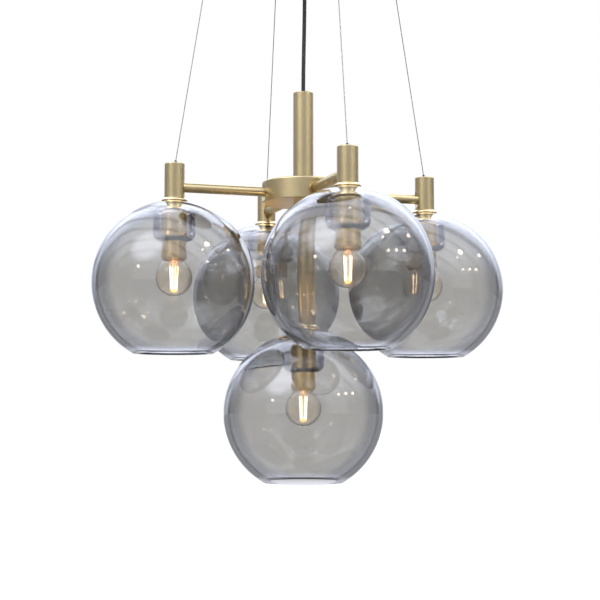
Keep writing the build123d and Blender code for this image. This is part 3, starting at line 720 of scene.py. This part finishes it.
# The room that metal and glass mirror: dim walls, two tall soft panels, a bright strip overhead,
# a window, dark ceiling beams and a few small warm lamps. Directions are the room's own.
ROOM_NEAR, ROOM_FAR = 0.6, 0.32  # walls on the photograph's side and beyond the lamp
NEAR_SIDE = (-0.304, -0.953, 0.0)
NEAR_EDGES = (-0.7, 0.4)  # cosines between which one passes into the other
ROOM_COLOR = (0.97, 0.97, 1.0, 1)
PANELS = ((-142, 15, 0.5), (-57, 13, 0.5))  # heading, half width in degrees, added brightness
PANEL_SOFT = (0.6, 1.7)  # shares of the half width between which a panel fades
PANEL_FOOT = (-0.55, -0.25)
OVERHEAD = 2.0
OVERHEAD_EDGES = (0.1, 0.75)
OVERHEAD_COLOR = (0.78, 0.84, 1.0, 1)
# a pale wall high behind the lamp: direction, cosines at its soft edge, brightness
CROWN = ((0.25, 0.78, 0.55), 0.5, 0.93, 1.2)
SOFT_LIGHT = 0.8  # what the room gives to matt surfaces
WINDOW = ((-0.625, -0.333, 0.706), 0.13, 3.2)  # direction, size, brightness
WINDOW_SOFT = (0.75, 0.15)
WINDOW_COLOR = (0.86, 0.88, 1.0, 1)
LAMP_COLOR = (1.0, 0.86, 0.6, 1)
INSIDE_LIFT = 0.35  # more light on what stands inside a globe, which the lit bulb shines on
BEAM_SCALE, BEAM_WANDER, BEAM_SHADE = 1.3, 3.0, 0.45
BEAM_EDGES = (0.02, 0.3)
LAMP_CORE = 0.45  # share of a room lamp's radius that is full bright
BEHIND_GLASS = 1.5  # a ray that went through one wall of a globe has a higher transmission depth
# direction, radius in degrees, brightness
ROOM_LAMPS = (
    ((0.541, -0.453, 0.709), 3.6, 50),
    ((0.845, -0.06, 0.532), 2.1, 24),
    ((0.56, -0.729, 0.393), 1.9, 20),
    ((0.71, -0.59, 0.384), 2.1, 24),
    ((0.834, -0.417, 0.362), 1.9, 20),
    ((0.46, -0.62, 0.634), 1.7, 16),
    ((-0.86, -0.42, 0.28), 2.2, 18),
    ((-0.52, -0.77, -0.36), 1.8, 14),
    ((-0.40, -0.84, -0.37), 1.7, 14),
    ((-0.33, -0.86, -0.40), 1.8, 16),
)
generated = world_node("ShaderNodeTexCoord").outputs["Generated"]
direction = world_node("ShaderNodeSeparateXYZ")
tree.links.new(generated, direction.inputs["Vector"])
compass = world_math("ARCTAN2", direction.outputs["Y"], direction.outputs["X"])


def toward(heading):
    """How nearly the world's direction lies along this one, as the cosine of the angle."""
    node = world_node("ShaderNodeVectorMath", operation="DOT_PRODUCT")
    tree.links.new(generated, node.inputs[0])
    node.inputs[1].default_value = Vector(heading).normalized()
    return node.outputs["Value"]


def world_color(value, color):
    """A grey value times a colour."""
    node = world_node("ShaderNodeMix", data_type="RGBA", blend_type="MULTIPLY")
    node.inputs["Factor"].default_value = 1.0
    tree.links.new(value, node.inputs[6])
    feed(tree, node.inputs[7], color)
    return node.outputs[2]


def world_add(first, second):
    """The sum of two colours."""
    node = world_node("ShaderNodeMix", data_type="RGBA", blend_type="ADD")
    node.inputs["Factor"].default_value = 1.0
    tree.links.new(first, node.inputs[6])
    tree.links.new(second, node.inputs[7])
    return node.outputs[2]


walls = smooth(toward(NEAR_SIDE), *NEAR_EDGES, ROOM_FAR, ROOM_NEAR)
for heading, half_width, brightness in PANELS:
    # distance from the panel's middle as 1 - cos of the angle
    turned_by = world_math("SUBTRACT", compass, radians(heading))
    away = world_math("SUBTRACT", 1.0, world_math("COSINE", turned_by))
    inner, outer = (1 - cos(radians(half_width * share)) for share in PANEL_SOFT)
    glow_panel = smooth(away, inner, outer, brightness, 0.0)
    level = smooth(direction.outputs["Z"], *PANEL_FOOT, 0.0, 1.0)
    walls = world_math("ADD", world_math("MULTIPLY", glow_panel, level), walls)
beams = world_node("ShaderNodeTexWave", wave_type="BANDS", bands_direction="DIAGONAL")
beams.inputs["Scale"].default_value = BEAM_SCALE
beams.inputs["Distortion"].default_value = BEAM_WANDER
tree.links.new(generated, beams.inputs["Vector"])
beam_shade = smooth(beams.outputs["Fac"], *BEAM_EDGES, BEAM_SHADE, 1.0)
overhead = smooth(direction.outputs["Z"], *OVERHEAD_EDGES, 0.0, OVERHEAD)
heading, outer, inner, brightness = CROWN
overhead = world_math("ADD", overhead, smooth(toward(heading), outer, inner, 0.0, brightness))
overhead = world_math("MULTIPLY", overhead, beam_shade)
room = world_add(world_color(walls, ROOM_COLOR), world_color(overhead, OVERHEAD_COLOR))

heading, size, brightness = WINDOW
outer, inner = (1 - size * share for share in WINDOW_SOFT)
window = smooth(toward(heading), outer, inner, 0.0, brightness)
features = world_color(window, WINDOW_COLOR)
lamps_seen = 0.0
for heading, radius, brightness in ROOM_LAMPS:
    outer, inner = cos(radians(radius)), cos(radians(radius * LAMP_CORE))
    lamps_seen = world_math("ADD", smooth(toward(heading), outer, inner, 0.0, brightness), lamps_seen)
features = world_add(features, world_color(lamps_seen, LAMP_COLOR))

path = world_node("ShaderNodeLightPath")


def choose(factor, first, second):
    """The first colour, or the second where the factor is 1."""
    node = world_node("ShaderNodeMix", data_type="RGBA")
    tree.links.new(factor, node.inputs["Factor"])
    feed(tree, node.inputs[6], first)
    feed(tree, node.inputs[7], second)
    return node.outputs[2]


# White straight on and through glass; whatever a surface mirrors is the room.
straight = world_math("LESS_THAN", path.outputs["Glossy Depth"], ANY_MIRROR)
# What stands inside a globe mirrors the room through its glass, and the lit bulb beside it.
inside_globe = world_math("GREATER_THAN", path.outputs["Transmission Depth"], BEHIND_GLASS)
lift = world_math("MULTIPLY_ADD", inside_globe, INSIDE_LIFT, 1.0)
mirrored = world_color(lift, world_add(room, features))
seen = choose(straight, mirrored, WHITE)
seen = choose(path.outputs["Is Diffuse Ray"], seen, (SOFT_LIGHT, SOFT_LIGHT, SOFT_LIGHT, 1))
background = tree.nodes["Background"]
tree.links.new(seen, background.inputs["Color"])


OVERHEAD_PLACE = Vector((0.1, -0.2, 2.4))
OVERHEAD_AIM = Vector((0, 0, -0.5))
OVERHEAD_SIZE = 0.12
OVERHEAD_POWER = 26
BULB_POWER = 1.0
BULB_COLOR = (1.0, 0.7, 0.36)
BULB_LIGHT_RADIUS = 0.006

data = bpy.data.lights.new("overhead", "AREA")
data.shape = "RECTANGLE"
data.size = data.size_y = OVERHEAD_SIZE
data.energy = OVERHEAD_POWER
lamp = bpy.data.objects.new("overhead", data)
lamp.location = OVERHEAD_PLACE
lamp.rotation_euler = (OVERHEAD_AIM - OVERHEAD_PLACE).to_track_quat("-Z", "Y").to_euler()
lamp.visible_glossy = False
scene.collection.objects.link(lamp)

for unit in UNITS:
    data = bpy.data.lights.new(f"bulb_light_{unit}", "POINT")
    data.energy = BULB_POWER
    data.color = BULB_COLOR
    data.shadow_soft_size = BULB_LIGHT_RADIUS
    lamp = bpy.data.objects.new(f"bulb_light_{unit}", data)
    lamp.location = (lamp_centre(unit) + Vector((0, 0, FILAMENT_BASE))) * MM
    lamp.visible_camera = False
    lamp.visible_transmission = False
    scene.collection.objects.link(lamp)
